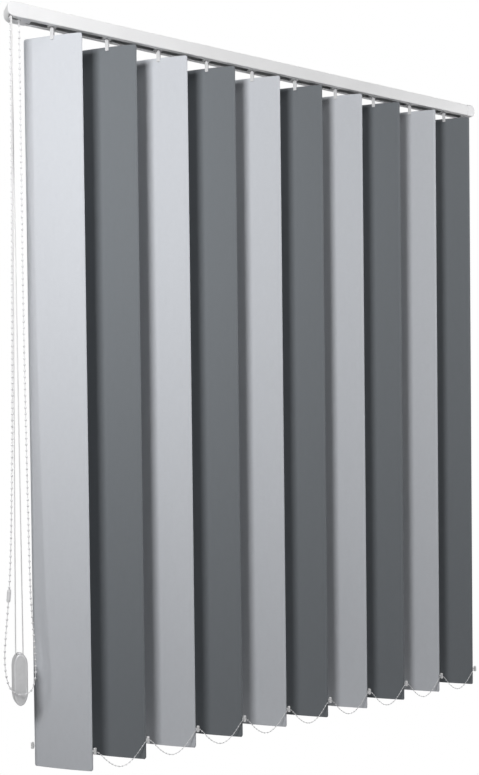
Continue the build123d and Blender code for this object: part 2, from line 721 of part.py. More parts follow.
with BuildLine() as path:
    start = (grip_x - 1, front_wheel_y, cord_z)
    Line(start, (control_x, front_wheel_y, cord_z))
    ThreePointArc((control_x, front_wheel_y, cord_z), (control_x - slant, front_wheel_y, rod_z + slant), to_weight[0])
    radii = bent_route(to_weight)
    ThreePointArc(to_weight[-1], (pendant_x, pendant_y, pendant_wheel_z - pendant_wheel_radius), from_weight[0])
    radii += bent_route(from_weight)
    ThreePointArc(from_weight[-1], (control_x - slant, rear_wheel_y, rod_z + slant), to_idle[0])
    radii += bent_route(to_idle)
    ThreePointArc(to_idle[-1], (return_x + return_wheel_radius, return_y, cord_z), (return_x, front_wheel_y, cord_z))
    Line((return_x, front_wheel_y, cord_z), (grip_x + 1, front_wheel_y, cord_z))
keep(tube(path.wire(), start, (-1, 0, 0), cord_diameter, "draw_cord", radii), "draw_cord")


def pendant_outline(plane, inset):
    """The cord weight's outline, rounder at the top than at the bottom, or the same outline set in."""
    half = pendant_width / 2 - inset
    shoulder = pendant_top - pendant_top_rise
    hip = pendant_bottom + pendant_low_rise
    with BuildSketch(plane) as outline:
        with BuildLine():
            EllipticalCenterArc((pendant_x, shoulder), half, pendant_top_rise - inset, arc_size=180)
            EllipticalCenterArc((pendant_x, hip), half, pendant_low_rise - inset, 180, arc_size=180)
            Line((pendant_x - half, shoulder), (pendant_x - half, hip))
            Line((pendant_x + half, shoulder), (pendant_x + half, hip))
        make_face()
    return outline.sketch


def pendant_half(side):
    """One half of the cord weight, cast solid but for the wheel's pocket and the cord's two channels."""
    outer = pendant_y + side * pendant_depth / 2
    pocket_half = cord_diameter / 2 + 0.9
    with BuildPart() as half:
        extrude(to_extrude=pendant_outline(Plane.XZ.offset(-pendant_y), 0), amount=-side * pendant_depth / 2)
        cover = half.faces().sort_by(Axis.Y)[-1 if side > 0 else 0]
        fillet(cover.edges(), pendant_edge)
        # A shallow panel leaves a rim round the broad face
        panel = pendant_outline(Plane.XZ.offset(-outer), pendant_edge + 1.0)
        extrude(to_extrude=panel, amount=side * 0.6, mode=Mode.SUBTRACT)
        # Pocket for the wheel and channels for the cord
        with BuildSketch(Plane.XZ.offset(-pendant_y)):
            with Locations((pendant_x, pendant_wheel_z)):
                Circle(pendant_wheel_radius + 1.6)
            for strand_x in (left_strand, right_strand):
                with Locations((strand_x, pendant_wheel_z + pendant_wheel_drop)):
                    Rectangle(cord_diameter + 1.2, 2 * pendant_wheel_drop)
        extrude(amount=-side * pocket_half, mode=Mode.SUBTRACT)
        # The rear half's pin carries the wheel and enters the front half
        pin_reach = pocket_half + 2.5
        if side > 0:
            with BuildSketch(Plane.XZ.offset(-pendant_y - pocket_half - 1)):
                with Locations((pendant_x, pendant_wheel_z)):
                    Circle(axle_radius)
            extrude(amount=pocket_half + 1 + pin_reach)
        else:
            with BuildSketch(Plane.XZ.offset(-pendant_y)):
                with Locations((pendant_x, pendant_wheel_z)):
                    Circle(axle_radius)
            extrude(amount=pin_reach + 0.5, mode=Mode.SUBTRACT)
    return half


keep(pendant_half(-1), "cord_weight_front")
keep(pendant_half(1), "cord_weight_rear")
keep(grooved_wheel(Axis((pendant_x, pendant_y, pendant_wheel_z), (0, 1, 0)), pendant_wheel_radius, 3.0, bore), "cord_weight_wheel")
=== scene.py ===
import math

import bpy
from mathutils import Matrix, Vector


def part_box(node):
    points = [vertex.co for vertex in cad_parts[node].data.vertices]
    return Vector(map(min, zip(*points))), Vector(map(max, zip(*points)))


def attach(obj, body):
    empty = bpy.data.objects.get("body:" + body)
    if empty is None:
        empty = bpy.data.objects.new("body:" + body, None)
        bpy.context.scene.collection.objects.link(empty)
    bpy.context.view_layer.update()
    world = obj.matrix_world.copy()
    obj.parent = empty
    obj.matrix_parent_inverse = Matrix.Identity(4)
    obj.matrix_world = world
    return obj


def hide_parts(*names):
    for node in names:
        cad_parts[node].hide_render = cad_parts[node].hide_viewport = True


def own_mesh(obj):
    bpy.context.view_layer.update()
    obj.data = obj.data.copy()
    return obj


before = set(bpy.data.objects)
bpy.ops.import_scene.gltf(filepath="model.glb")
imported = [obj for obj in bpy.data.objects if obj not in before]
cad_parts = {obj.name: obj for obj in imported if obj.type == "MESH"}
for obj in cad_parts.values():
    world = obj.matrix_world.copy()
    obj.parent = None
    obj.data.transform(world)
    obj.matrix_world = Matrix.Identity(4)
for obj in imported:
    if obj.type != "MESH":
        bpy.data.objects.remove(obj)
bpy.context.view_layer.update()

bl_info = {
    "name": "Vertical blind",
    "version": (1, 0, 0),
    "blender": (4, 5, 0),
    "location": "3D View > Sidebar > Blind",
    "description": "Dresses a vertical blind with cloth vanes, beaded chains and a draw cord",
    "category": "Object",
}

MM = 0.001
VANES = 10
REST_TILT = math.radians(43.0)
NAMES = [f"{number:02d}" for number in range(1, VANES + 1)]

# Places on the CAD, in millimetres
SPACING = 115.0
CLIP_RADIUS = 3.2
CHAIN_TUBE_RADIUS = 1.3
FIRST_VANE_X = -517.5
CONTROL_X = -592.965
AXLE_Z = -18.0
SPROCKET_Y = -4.0
CHAIN_RADIUS = 8.485
FRONT_CORD_Y, REAR_CORD_Y, INNER_CORD_Y = -13.2, -9.7, -2.9
CORD_Z = -10.0
CORD_WHEEL_RADIUS = 8.0
RETURN_WHEEL_RADIUS = 5.15
RETURN_X = 609.0 - 1.6 - RETURN_WHEEL_RADIUS - 2.2 - 1.5
WEIGHT_X = CONTROL_X - 12.0
WEIGHT_WHEEL_Z = -1284.0
WEIGHT_WHEEL_RADIUS = 7.15


# Sizes and colours that a user would change


class BlindSizes(bpy.types.PropertyGroup):
    """Sizes of the soft pieces, in metres."""

    vane_width: bpy.props.FloatProperty(
        name="Vane width", description="Width of a vane's cloth, laid flat", default=0.127, unit="LENGTH"
    )
    vane_bow: bpy.props.FloatProperty(
        name="Vane bow", description="Height of the vane's bow over its width", default=0.002, unit="LENGTH"
    )
    vane_corner: bpy.props.FloatProperty(
        name="Vane corner", description="Radius of the vane's corners", default=0.0045, unit="LENGTH"
    )
    cloth: bpy.props.FloatProperty(
        name="Cloth", description="Thickness of the stiffened cloth", default=0.0006, unit="LENGTH"
    )
    hem: bpy.props.FloatProperty(
        name="Hem", description="Height of the fold at the top", default=0.020, unit="LENGTH"
    )
    pocket: bpy.props.FloatProperty(
        name="Pocket", description="Height of the pocket for the weight", default=0.046, unit="LENGTH"
    )
    bead: bpy.props.FloatProperty(
        name="Bead", description="Diameter of the control chain's beads", default=0.0045, unit="LENGTH"
    )
    bead_pitch: bpy.props.FloatProperty(
        name="Bead pitch", description="Distance from bead to bead", default=0.012, unit="LENGTH"
    )
    small_bead: bpy.props.FloatProperty(
        name="Small bead", description="Diameter of the bottom chains' beads", default=0.0028, unit="LENGTH"
    )
    small_pitch: bpy.props.FloatProperty(
        name="Small bead pitch",
        description="Distance between the bottom chains' beads",
        default=0.008,
        unit="LENGTH",
    )
    cord: bpy.props.FloatProperty(
        name="Cord", description="Diameter of the draw cord", default=0.0022, unit="LENGTH"
    )


class BlindColours(bpy.types.PropertyGroup):
    """Colours of the blind's finishes."""

    light_cloth: bpy.props.FloatVectorProperty(
        name="Light cloth",
        description="Colour of the light vanes",
        subtype="COLOR",
        default=(0.69, 0.711, 0.751),
    )
    dark_cloth: bpy.props.FloatVectorProperty(
        name="Dark cloth",
        description="Colour of the dark vanes",
        subtype="COLOR",
        default=(0.210, 0.226, 0.242),
    )
    rail: bpy.props.FloatVectorProperty(
        name="Rail", description="Colour of the rail's coating", subtype="COLOR", default=(0.89, 0.89, 0.895)
    )
    plastic: bpy.props.FloatVectorProperty(
        name="Plastic",
        description="Colour of the caps, hooks and beads",
        subtype="COLOR",
        default=(0.86, 0.86, 0.87),
    )
    weight: bpy.props.FloatVectorProperty(
        name="Weight", description="Colour of the cord weight", subtype="COLOR", default=(0.60, 0.60, 0.61)
    )


# Shader maths


class Value:
    """A socket in an expression. Each operation adds its Math node."""

    def __init__(self, tree, socket):
        self.tree = tree
        self.socket = socket

    def math(self, operation, *others):
        made = self.tree.nodes.new("ShaderNodeMath")
        made.operation = operation
        for place, term in enumerate((self, *others)):
            plug(self.tree, made.inputs[place], term)
        return Value(self.tree, made.outputs[0])

    def __add__(self, other):
        return self.math("ADD", other)

    __radd__ = __add__

    def __mul__(self, other):
        return self.math("MULTIPLY", other)

    __rmul__ = __mul__

    def __sub__(self, other):
        return self.math("SUBTRACT", other)

    def __rsub__(self, other):
        return (self * -1) + other

    def __truediv__(self, other):
        return self.math("DIVIDE", other)

    def sine(self):
        return self.math("SINE")

    def ramp(self, low, high):
        """0 at low and 1 at high, smooth between."""
        made = self.tree.nodes.new("ShaderNodeMapRange")
        made.interpolation_type = "SMOOTHSTEP"
        plug(self.tree, made.inputs["Value"], self)
        made.inputs["From Min"].default_value = low
        made.inputs["From Max"].default_value = high
        return Value(self.tree, made.outputs["Result"])


def plug(tree, target, term):
    """Sets a socket to a value, or links it to one."""
    if isinstance(term, Value):
        tree.links.new(term.socket, target)
    elif hasattr(term, "links"):
        tree.links.new(term, target)
    else:
        target.default_value = term


def add_node(tree, kind, settings=None, inputs=None, output=0):
    """Adds any node, with its settings and its inputs, and gives one of its outputs."""
    made = tree.nodes.new(kind)
    for name, value in (settings or {}).items():
        setattr(made, name, value)
    for name, term in (inputs or {}).items():
        for one in term if isinstance(term, list) else [term]:
            plug(tree, made.inputs[name], one)
    return Value(tree, made.outputs[output])


class Finish:
    """A material with one Principled shader, and short ways to add the nodes before it."""

    def __init__(self, name, **settings):
        self.material = bpy.data.materials.new(name)
        self.material.use_nodes = True
        self.tree = self.material.node_tree
        self.tree.nodes.clear()
        self.shader = self.tree.nodes.new("ShaderNodeBsdfPrincipled")
        end = self.tree.nodes.new("ShaderNodeOutputMaterial")
        self.tree.links.new(self.shader.outputs["BSDF"], end.inputs["Surface"])
        for socket, value in settings.items():
            self.shader.inputs[socket.replace("_", " ")].default_value = value

    def node(self, kind, settings=None, inputs=None, output=0):
        return add_node(self.tree, kind, settings, inputs, output)

    def axis(self, place, name):
        """One coordinate of a place."""
        return self.node("ShaderNodeSeparateXYZ", inputs={"Vector": place}, output=name)

    def place(self, source="Object", scale=(1, 1, 1)):
        """Object or UV coordinates, scaled for each axis."""
        coordinates = self.node("ShaderNodeTexCoord", output=source)
        return self.node("ShaderNodeMapping", inputs={"Vector": coordinates, "Scale": scale})

    def noise(self, place, scale, detail=2.0, roughness=0.5):
        """Noise at a place, about 0 to 1."""
        inputs = {"Vector": place, "Scale": scale, "Detail": detail, "Roughness": roughness}
        return self.node("ShaderNodeTexNoise", inputs=inputs)

    def tint(self, share, low, high):
        """A colour between two, by a value from 0 to 1."""
        made = self.tree.nodes.new("ShaderNodeMix")
        made.data_type = "RGBA"
        plug(self.tree, made.inputs[0], share)
        for socket, colour in ((made.inputs[6], low), (made.inputs[7], high)):
            plug(self.tree, socket, colour if isinstance(colour, Value) else (*colour, 1.0))
        return Value(self.tree, made.outputs[2])

    def relief(self, height, distance, strength):
        """Bumps the surface by a height from 0 to 1."""
        made = self.tree.nodes.new("ShaderNodeBump")
        made.inputs["Distance"].default_value = distance
        made.inputs["Strength"].default_value = strength
        plug(self.tree, made.inputs["Height"], height)
        self.tree.links.new(made.outputs["Normal"], self.shader.inputs["Normal"])

    def feed(self, socket, term):
        """Links a value to one of the shader's inputs."""
        plug(self.tree, self.shader.inputs[socket], term)


def shade(colour, factor):
    """A colour made darker or lighter."""
    return tuple(min(1.0, channel * factor) for channel in colour)


def cloth_finish(name, colour):
    """Stiffened plain-woven cloth with slubs, read along the cloth's own map in metres."""
    finish = Finish(name, Roughness=0.82, Specular_IOR_Level=0.10, Sheen_Weight=0.02, Sheen_Roughness=0.6)
    flat = finish.place("UV")
    thread_pitch = 0.00055
    thread = 2 * math.pi / thread_pitch
    warp = (finish.axis(flat, "X") * thread).sine()
    weft = (finish.axis(flat, "Y") * thread).sine()
    weave = (warp * weft) * 0.25 + 0.5
    slub = finish.noise(finish.place("UV", (60, 1500, 1)), 1.0, 3.0, 0.6)
    streak = finish.noise(finish.place("UV", (900, 25, 1)), 1.0, 2.0, 0.55)
    cloud = finish.noise(finish.place("UV", (22, 9, 1)), 1.0, 2.0, 0.5)
    tone = (slub * 0.45 + streak * 0.30 + cloud * 0.25).ramp(0.32, 0.68)
    finish.feed("Base Color", finish.tint(tone, shade(colour, 0.98), shade(colour, 1.02)))
    finish.feed("Roughness", tone * 0.10 + 0.76)
    finish.relief(weave * 0.6 + slub * 0.4, 0.00009, 0.55)
    return finish.material


def coated_finish(name, colour, roughness=0.34, grain=1400.0, depth=0.00002):
    """Powder-coated or painted metal with a faint orange peel."""
    finish = Finish(name, Specular_IOR_Level=0.45)
    place = finish.place()
    peel = finish.noise(place, grain, 2.0, 0.5)
    wear = finish.noise(place, 9.0, 3.0, 0.6)
    finish.feed("Base Color", finish.tint(wear.ramp(0.3, 0.7), shade(colour, 0.975), shade(colour, 1.015)))
    finish.feed("Roughness", wear * 0.10 + (roughness - 0.05))
    finish.relief(peel, depth, 0.5)
    return finish.material


def moulded_finish(name, colour, roughness):
    """Injection-moulded plastic: a fine spark-eroded texture and faint flow marks."""
    finish = Finish(name, Specular_IOR_Level=0.5)
    place = finish.place()
    texture = finish.noise(place, 2200.0, 1.0, 0.5)
    flow = finish.noise(finish.place("Object", (14, 60, 14)), 1.0, 2.0, 0.5)
    finish.feed("Base Color", finish.tint(flow.ramp(0.3, 0.7), shade(colour, 0.98), shade(colour, 1.01)))
    finish.feed("Roughness", flow * 0.08 + texture * 0.06 + (roughness - 0.07))
    finish.relief(texture, 0.000012, 0.5)
    return finish.material


def metal_finish(name, colour, roughness, stretch=(3, 900, 900)):
    """Drawn or ground metal, its fine lines along one axis."""
    finish = Finish(name, Metallic=1.0)
    lines = finish.noise(finish.place("Object", stretch), 1.0, 3.0, 0.6)
    stain = finish.noise(finish.place(), 40.0, 2.0, 0.5)
    finish.feed("Base Color", finish.tint(stain.ramp(0.3, 0.7), shade(colour, 0.94), shade(colour, 1.04)))
    finish.feed("Roughness", lines * 0.16 + (roughness - 0.08))
    finish.relief(lines, 0.00001, 0.4)
    return finish.material


def cord_finish(name, colour):
    """Braided cord: crossing yarns as fine diagonal ridges, with painted shade in the grooves between them.
    """
    finish = Finish(name, Roughness=0.72, Sheen_Weight=0.1)
    place = finish.place()
    along = finish.axis(place, "Z") * 4200.0
    across = finish.axis(place, "X") * 3600.0
    braid = (along + across).sine() * (along - across).sine()
    fuzz = finish.noise(place, 1800.0, 2.0, 0.6)
    # Painted shade: the grooves between the crossing yarns are painted a tenth darker
    finish.feed("Base Color", finish.tint(braid * 0.5 + 0.5, shade(colour, 0.90), colour))
    finish.relief(braid * 0.35 + fuzz * 0.3, 0.00008, 0.6)
    return finish.material


def weight_finish(name, colour, panel_front, panel_rear):
    """Cast weight with a satin lacquer. The rims are painted lighter as a painted highlight, and the sunk
    panels and sides a little darker as painted shade.
    """
    finish = Finish(name, Metallic=0.25, Specular_IOR_Level=0.5)
    place = finish.place()
    depth = finish.axis(place, "Y")
    edge = 0.0002
    sunk = depth.ramp(panel_front, panel_front + edge) * (1 - depth.ramp(panel_rear - edge, panel_rear))
    rim_highlight = 1 - sunk
    cast = finish.noise(place, 700.0, 3.0, 0.6)
    stain = finish.noise(place, 60.0, 2.0, 0.5)
    # Painted highlight on the rims and painted shade on the sunk panels and sides, mixed with a real random
    # stain
    tone = stain.ramp(0.3, 0.7) * 0.25 + rim_highlight * 0.75
    finish.feed("Base Color", finish.tint(tone, shade(colour, 0.93), shade(colour, 1.32)))
    finish.feed("Roughness", cast * 0.12 + 0.28 + sunk * 0.06)
    finish.relief(cast, 0.00004, 0.5)
    return finish.material


def finishes():
    """The blind's materials by the record's slot names, made once."""
    if not finishes.made:
        colours = bpy.context.scene.blind_colours
        panel_depth = 0.0005
        panel_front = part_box("cord_weight_front")[0].y + panel_depth
        panel_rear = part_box("cord_weight_rear")[1].y - panel_depth
        finishes.made = {
            "rail_white": coated_finish("rail_white", tuple(colours.rail)),
            "cap_white": moulded_finish("cap_white", tuple(colours.plastic), 0.30),
            "gear_white": moulded_finish("gear_white", shade(colours.plastic, 0.86), 0.42),
            "chain_white": moulded_finish("chain_white", tuple(colours.plastic), 0.26),
            "ballast_white": coated_finish("ballast_white", shade(colours.rail, 0.98), 0.4, 900.0, 0.00003),
            "clip_steel": metal_finish("clip_steel", (0.62, 0.63, 0.65), 0.3, (900, 3, 900)),
            "rod_metal": metal_finish("rod_metal", (0.72, 0.73, 0.75), 0.36),
            "axle_steel": metal_finish("axle_steel", (0.6, 0.61, 0.63), 0.24, (900, 3, 900)),
            "vane_light": cloth_finish("vane_light", tuple(colours.light_cloth)),
            "vane_dark": cloth_finish("vane_dark", tuple(colours.dark_cloth)),
            "cord_white": cord_finish("cord_white", (0.86, 0.86, 0.86)),
            "weight_grey": weight_finish("weight_grey", tuple(colours.weight), panel_front, panel_rear),
        }
    return finishes.made


finishes.made = {}


# Geometry node trees


BEADS_NAME = "Beads on a string"


class Tree:
    """A geometry node tree with named inputs."""

    def __init__(self, name):
        self.tree = bpy.data.node_groups.new(name, "GeometryNodeTree")
        self.tree.interface.new_socket("Geometry", in_out="INPUT", socket_type="NodeSocketGeometry")
        self.tree.interface.new_socket("Geometry", in_out="OUTPUT", socket_type="NodeSocketGeometry")
        self.entry = self.tree.nodes.new("NodeGroupInput")
        self.exit = self.tree.nodes.new("NodeGroupOutput")

    def input(self, name, kind, default=None):
        made = self.tree.interface.new_socket(name, in_out="INPUT", socket_type="NodeSocket" + kind)
        if default is not None:
            made.default_value = default
        return Value(self.tree, self.entry.outputs[name])

    def node(self, kind, settings=None, inputs=None, output=0):
        return add_node(self.tree, kind, settings, inputs, output)

    def geometry(self):
        return Value(self.tree, self.entry.outputs["Geometry"])

    def end(self, geometry, material):
        """Realize Instances and Set Material close every tree."""
        real = self.node("GeometryNodeRealizeInstances", inputs={"Geometry": geometry})
        dressed = self.node("GeometryNodeSetMaterial", inputs={"Geometry": real, "Material": material})
        self.tree.links.new(dressed.socket, self.exit.inputs["Geometry"])
        return self.tree


def bead_tree():
    """Beads at an even pitch on a curve, with the string that carries them."""
    tree = Tree(BEADS_NAME)
    pitch = tree.input("Pitch", "Float", 0.012)
    bead = tree.input("Bead", "Float", 0.0045)
    string = tree.input("String", "Float", 0.0012)
    first = tree.input("First", "Float", 0.0)
    material = tree.input("Material", "Material")
    line = tree.geometry()
    shorter = tree.node("GeometryNodeTrimCurve", {"mode": "LENGTH"}, {"Curve": line})
    ends = {socket.name: socket for socket in shorter.socket.node.inputs if socket.enabled}
    past_every_end = 100.0
    plug(tree.tree, ends["Start"], first)
    plug(tree.tree, ends["End"], past_every_end)
    spots = tree.node("GeometryNodeResampleCurve", {"mode": "LENGTH"}, {"Curve": shorter, "Length": pitch})
    ball = tree.node(
        "GeometryNodeMeshUVSphere", inputs={"Segments": 10, "Rings": 7, "Radius": bead * 0.5}, output="Mesh"
    )
    round_ball = tree.node("GeometryNodeSetShadeSmooth", inputs={"Geometry": ball, "Shade Smooth": True})
    heading = tree.node("GeometryNodeInputTangent")
    turn = tree.node("FunctionNodeAlignRotationToVector", {"axis": "Z"}, {"Vector": heading})
    beads = tree.node(
        "GeometryNodeInstanceOnPoints", inputs={"Points": spots, "Instance": round_ball, "Rotation": turn}
    )
    ring = tree.node(
        "GeometryNodeCurvePrimitiveCircle", {"mode": "RADIUS"}, {"Resolution": 8, "Radius": string * 0.5}
    )
    thread = tree.node(
        "GeometryNodeCurveToMesh", inputs={"Curve": line, "Profile Curve": ring, "Fill Caps": True}
    )
    both = tree.node("GeometryNodeJoinGeometry", inputs={"Geometry": [beads, thread]})
    return tree.end(both, material)


def vane_tree():
    """A cloth strip: the object's vertices are its folded side view, spread across the bowed width."""
    tree = Tree("Bowed cloth strip")
    rows = tree.input("Rows", "Int", 100)
    columns = tree.input("Columns", "Int", 17)
    width = tree.input("Width", "Float", 0.127)
    radius = tree.input("Bow Radius", "Float", 1.009)
    corner = tree.input("Corner", "Float", 0.0045)
    top = tree.input("Top", "Float", 0.0)
    bottom = tree.input("Bottom", "Float", -1.474)
    ripple = tree.input("Ripple", "Float", 0.0004)
    seed = tree.input("Seed", "Float", 0.0)
    material = tree.input("Material", "Material")
    side_view = tree.geometry()
    grid = tree.node(
        "GeometryNodeMeshGrid",
        inputs={"Size X": 1.0, "Size Y": 1.0, "Vertices X": columns, "Vertices Y": rows},
        output="Mesh",
    )
    index = tree.node("GeometryNodeInputIndex")
    row = index.math("FLOORED_MODULO", rows)
    column = (index / rows).math("FLOOR")
    share = column / (columns - 1) * 2.0 - 1.0
    # Each row takes the place of the side view's vertex of the same number
    position = tree.node("GeometryNodeInputPosition")
    sampled = tree.node(
        "GeometryNodeSampleIndex",
        {"data_type": "FLOAT_VECTOR", "domain": "POINT"},
        {"Geometry": side_view, "Value": position, "Index": row},
    )
    profile = tree.node("ShaderNodeSeparateXYZ", inputs={"Vector": sampled})
    split = profile.socket.node
    length = Value(tree.tree, split.outputs["X"])
    offset = Value(tree.tree, split.outputs["Y"])
    height = Value(tree.tree, split.outputs["Z"])
    # The width narrows at both ends along the corners' arcs
    near_end = (top - height).math("MINIMUM", height - bottom).math("MAXIMUM", 0.0).math("MINIMUM", corner)
    rest = corner - near_end
    half = width * 0.5 - corner + (corner * corner - rest * rest).math("MAXIMUM", 0.0).math("SQRT")
    # Across the width the cloth lies on an arc, moved off it by the fold's offset
    reach = share * half
    angle = reach / radius
    near = radius - offset
    x = near * angle.sine()
    y = radius - near * angle.math("COSINE")
    # A slow ripple of the cloth, none at the hook
    drift = tree.node("ShaderNodeCombineXYZ", inputs={"X": reach * 9.0, "Y": 0.0, "Z": height * 3.2})
    wander = tree.node(
        "ShaderNodeTexNoise",
        {"noise_dimensions": "4D"},
        {"Vector": drift, "W": seed, "Scale": 1.0, "Detail": 1.5},
    )
    free = (top - height).ramp(0.0, 0.12)
    bent = y + (wander - 0.5) * ripple * free * 2.0
    placed = tree.node("ShaderNodeCombineXYZ", inputs={"X": x, "Y": bent, "Z": height})
    shaped = tree.node("GeometryNodeSetPosition", inputs={"Geometry": grid, "Position": placed})
    flat = tree.node("ShaderNodeCombineXYZ", inputs={"X": reach, "Y": length, "Z": 0.0})
    mapped = tree.node(
        "GeometryNodeStoreNamedAttribute",
        {"data_type": "FLOAT2", "domain": "CORNER"},
        {"Geometry": shaped, "Name": "UVMap", "Value": flat},
    )
    smooth = tree.node("GeometryNodeSetShadeSmooth", inputs={"Geometry": mapped, "Shade Smooth": True})
    return tree.end(smooth, material)


def grow(piece, tree, **values):
    """Adds a tree to an object as a modifier, with its inputs set by their names."""
    modifier = piece.modifiers.new(tree.name, "NODES")
    modifier.node_group = tree
    names = {
        item.name: item.identifier
        for item in tree.interface.items_tree
        if item.item_type == "SOCKET" and item.in_out == "INPUT"
    }
    for name, value in values.items():
        modifier[names[name.replace("_", " ")]] = value


def plain_mesh(piece, name):
    """The evaluated object as a new plain mesh object; the old one is removed."""
    bpy.context.view_layer.update()
    evaluated = piece.evaluated_get(bpy.context.evaluated_depsgraph_get())
    mesh = bpy.data.meshes.new_from_object(evaluated)
    mesh.name = name
    bpy.data.objects.remove(piece)
    made = bpy.data.objects.new(name, mesh)
    bpy.context.scene.collection.objects.link(made)
    return made


def route_curve(name, points):
    """A smooth open spline whose control points are a route's points, in millimetres."""
    curve = bpy.data.curves.new(name, "CURVE")
    curve.dimensions = "3D"
    curve.resolution_u = 8
    spline = curve.splines.new("NURBS")
    spline.points.add(len(points) - 1)
    for spot, point in zip(spline.points, points):
        spot.co = (*(value * MM for value in point), 1.0)
    spline.order_u = 3
    spline.use_endpoint_u = True
    made = bpy.data.objects.new(name, curve)
    bpy.context.scene.collection.objects.link(made)
    return made


def route_line(curve_object):
    """The points of a route's spline, read from its evaluated curve."""
    bpy.context.view_layer.update()
    evaluated = curve_object.evaluated_get(bpy.context.evaluated_depsgraph_get())
    mesh = bpy.data.meshes.new_from_object(evaluated)
    line = [vertex.co.copy() for vertex in mesh.vertices]
    bpy.data.meshes.remove(mesh)
    return line


def line_length(line):
    """The length along a line's points."""
    return sum((b - a).length for a, b in zip(line, line[1:]))


def dress(node, slot):
    """Gives a CAD node its finish."""
    node_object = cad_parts[node]
    node_object.data.materials.clear()
    node_object.data.materials.append(finishes()[slot])


# The vanes


def vane_side_view(sizes, top, bottom):
    """The folded cloth seen from its edge: length along the cloth, offset to the rear, and height."""
    cloth = sizes.cloth * 1.05
    pocket_depth = 0.0026
    closing = 0.006
    closed = 0.002
    spots = []

    def run(offset_a, z_a, offset_b, z_b, steps):
        """Adds even steps on a straight line, without its last point."""
        for step in range(steps):
            part = step / steps
            spots.append((offset_a + (offset_b - offset_a) * part, z_a + (z_b - z_a) * part))

    crest = top - cloth / 2
    run(cloth, top - sizes.hem, cloth, crest, 10)
    spots.append((cloth * 0.85, crest + cloth * 0.35))
    spots.append((cloth * 0.5, crest + cloth * 0.5))
    spots.append((cloth * 0.15, crest + cloth * 0.35))
    corner = sizes.vane_corner
    for drop in (0.0, 0.12, 0.3, 0.55, 0.8):
        spots.append((0.0, crest - drop * corner))
    run(0.0, crest - corner, 0.0, bottom + 1.6 * corner, 90)
    for rise in (1.6, 1.2, 0.8, 0.5, 0.25):
        spots.append((0.0, bottom + rise * corner))
    turn = pocket_depth / 2
    for step in range(7):
        angle = math.pi * step / 6
        rise = cloth / 2 + turn * 0.35 * (1 - math.sin(angle))
        spots.append((turn - turn * math.cos(angle), bottom + rise))
    for rise in (0.25, 0.5, 0.8, 1.2, 1.6):
        spots.append((pocket_depth, bottom + rise * corner))
    mouth = bottom + sizes.pocket
    run(pocket_depth, bottom + 2.2 * corner, pocket_depth, mouth - closing, 10)
    run(pocket_depth, mouth - closing, cloth, mouth - closed, 5)
    spots.append((cloth, mouth - closed))
    spots.append((cloth, mouth))
    length = 0.0
    view = []
    before = spots[0]
    for spot in spots:
        length += math.hypot(spot[0] - before[0], spot[1] - before[1])
        view.append((length, spot[0], spot[1]))
        before = spot
    return view, length


class BLIND_OT_vanes(bpy.types.Operator):
    """Make the ten cloth vanes, folded at the top and round the weight at the bottom"""

    bl_idname = "blind.vanes"
    bl_label = "Vanes"

    def execute(self, context):
        sizes = context.scene.blind_sizes
        tree = vane_tree()
        low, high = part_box("vane_01")
        view, cut = vane_side_view(sizes, high.z, low.z)
        bow_radius = (sizes.vane_width / 2) ** 2 / (2 * sizes.vane_bow) + sizes.vane_bow / 2
        for number, name in enumerate(NAMES):
            slot = "vane_dark" if number % 2 else "vane_light"
            mesh = bpy.data.meshes.new("side view")
            mesh.from_pydata(view, [], [])
            strip = bpy.data.objects.new("strip", mesh)
            context.scene.collection.objects.link(strip)
            grow(
                strip,
                tree,
                Rows=len(view),
                Columns=21,
                Width=sizes.vane_width,
                Bow_Radius=bow_radius,
                Corner=sizes.vane_corner,
                Top=high.z,
                Bottom=low.z,
                Ripple=0.0007,
                Seed=3.7 * number + 1.3,
                Material=finishes()[slot],
            )
            wall = strip.modifiers.new("Cloth thickness", "SOLIDIFY")
            wall.thickness = sizes.cloth
            wall.offset = 0.0
            vane = plain_mesh(strip, f"vane_cloth_{name}")
            pivot = pivots()[number]
            vane.data.transform(Matrix.Translation((pivot, 0, 0)) @ Matrix.Rotation(-REST_TILT, 4, "Z"))
            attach(vane, f"vane_{name}_body")
            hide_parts(f"vane_{name}")
        return {"FINISHED"}


def pivots():
    """Each vane's pivot along the rail, from the hooks' places."""
    return [(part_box(f"hook_{name}")[0].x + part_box(f"hook_{name}")[1].x) / 2 for name in NAMES]


# Chains and cord


def beaded_chain(name, points, pitch, bead, string, first):
    """A mesh chain of beads on a string along a route, and the line that it follows."""
    curve = route_curve(name + "_route", points)
    line = route_line(curve)
    tree = bpy.data.node_groups.get(BEADS_NAME) or bead_tree()
    material = finishes()["chain_white"]
    grow(curve, tree, Pitch=pitch, Bead=bead, String=string, First=first, Material=material)
    return plain_mesh(curve, name), line


class BLIND_OT_bottom_chains(bpy.types.Operator):
    """Make the two fine bead chains that link the vanes' bottom weights"""

    bl_idname = "blind.bottom_chains"
    bl_label = "Bottom chains"

    def execute(self, context):
        sizes = context.scene.blind_sizes
        for name in ("front_chain", "rear_chain"):
            low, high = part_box(name)
            middle_y = (low.y + high.y) / 2 / MM
            eye_z = high.z / MM - CHAIN_TUBE_RADIUS
            start = low.x / MM
            clip_x = start + CLIP_RADIUS - 0.5
            level = 4.7
            sag = 46.0
            points = [(start, middle_y, eye_z)]
            for number in range(VANES - 1):
                left = clip_x + SPACING * number + level
                right = clip_x + SPACING * (number + 1) - level
                for share, drop in ((0, 0), (0.25, 0.71), (0.5, 1), (0.75, 0.71), (1, 0)):
                    points.append((left + share * (right - left), middle_y, eye_z - drop * sag))
            points.append((high.x / MM, middle_y, eye_z))
            chain, line = beaded_chain(
                name + "_beads", points, sizes.small_pitch, sizes.small_bead, string=0.0011, first=0.004
            )
            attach(chain, name + "_body")
            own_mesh(chain)
            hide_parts(name)
            line_length(line)
        return {"FINISHED"}


